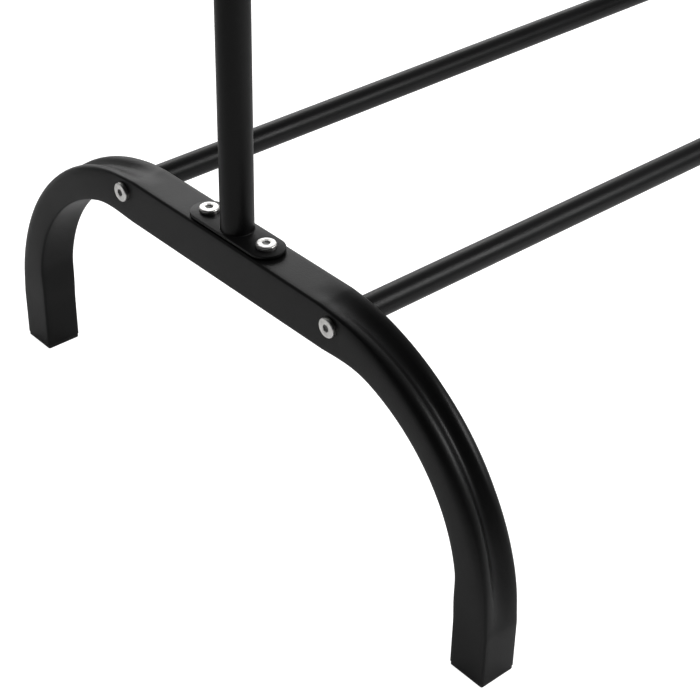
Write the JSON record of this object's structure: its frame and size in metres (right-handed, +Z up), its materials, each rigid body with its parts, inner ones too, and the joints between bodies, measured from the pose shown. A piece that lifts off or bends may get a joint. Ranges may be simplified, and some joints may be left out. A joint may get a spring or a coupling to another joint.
{
  "type": "garment rail",
  "caption": "Free-standing garment rail: bent square-tube arch feet, round uprights bolted on base plates, lower cross rails and a round hanging rail.",
  "frame": {"origin": "on the floor, centred between the feet and between the legs of each foot", "axes": "+X along the rails, +Y across the feet towards the rear legs, +Z up along the uprights"},
  "size_m": [1.106, 0.458, 1.5151],
  "materials": {
    "black_powder_coat": "satin black powder coat with a fine grain",
    "nickel_plate": "bright nickel plate",
    "zinc_plate": "dull zinc plate",
    "black_plastic": "moulded matte black"
  },
  "bodies": {
    "root": {"base_plate_left": "black_powder_coat", "base_plate_right": "black_powder_coat", "foot_cap_left_front": "black_plastic", "foot_cap_left_rear": "black_plastic", "foot_cap_right_front": "black_plastic", "foot_cap_right_rear": "black_plastic", "foot_tube_left": "black_powder_coat", "foot_tube_right": "black_powder_coat", "hanging_rail": "black_powder_coat", "hanging_rail_cap_left": "black_plastic", "hanging_rail_cap_right": "black_plastic", "hanging_rail_screw_left": "nickel_plate", "hanging_rail_screw_right": "nickel_plate", "lower_post_left": "black_powder_coat", "lower_post_right": "black_powder_coat", "lower_rail_front": "black_powder_coat", "lower_rail_rear": "black_powder_coat", "plate_screw_left_front": "nickel_plate", "plate_screw_left_rear": "nickel_plate", "plate_screw_right_front": "nickel_plate", "plate_screw_right_rear": "nickel_plate", "post_saddle_left": "black_plastic", "post_saddle_right": "black_plastic", "post_spigot_left": "zinc_plate", "post_spigot_right": "zinc_plate", "post_weld_left": "black_powder_coat", "post_weld_right": "black_powder_coat", "rail_insert_left_front": "zinc_plate", "rail_insert_left_rear": "zinc_plate", "rail_insert_right_front": "zinc_plate", "rail_insert_right_rear": "zinc_plate", "rail_screw_left_front": "nickel_plate", "rail_screw_left_rear": "nickel_plate", "rail_screw_right_front": "nickel_plate", "rail_screw_right_rear": "nickel_plate", "rivet_nut_left_front": "zinc_plate", "rivet_nut_left_rear": "zinc_plate", "rivet_nut_right_front": "zinc_plate", "rivet_nut_right_rear": "zinc_plate", "upper_post_left": "black_powder_coat", "upper_post_right": "black_powder_coat"}
  },
  "joints": []
}
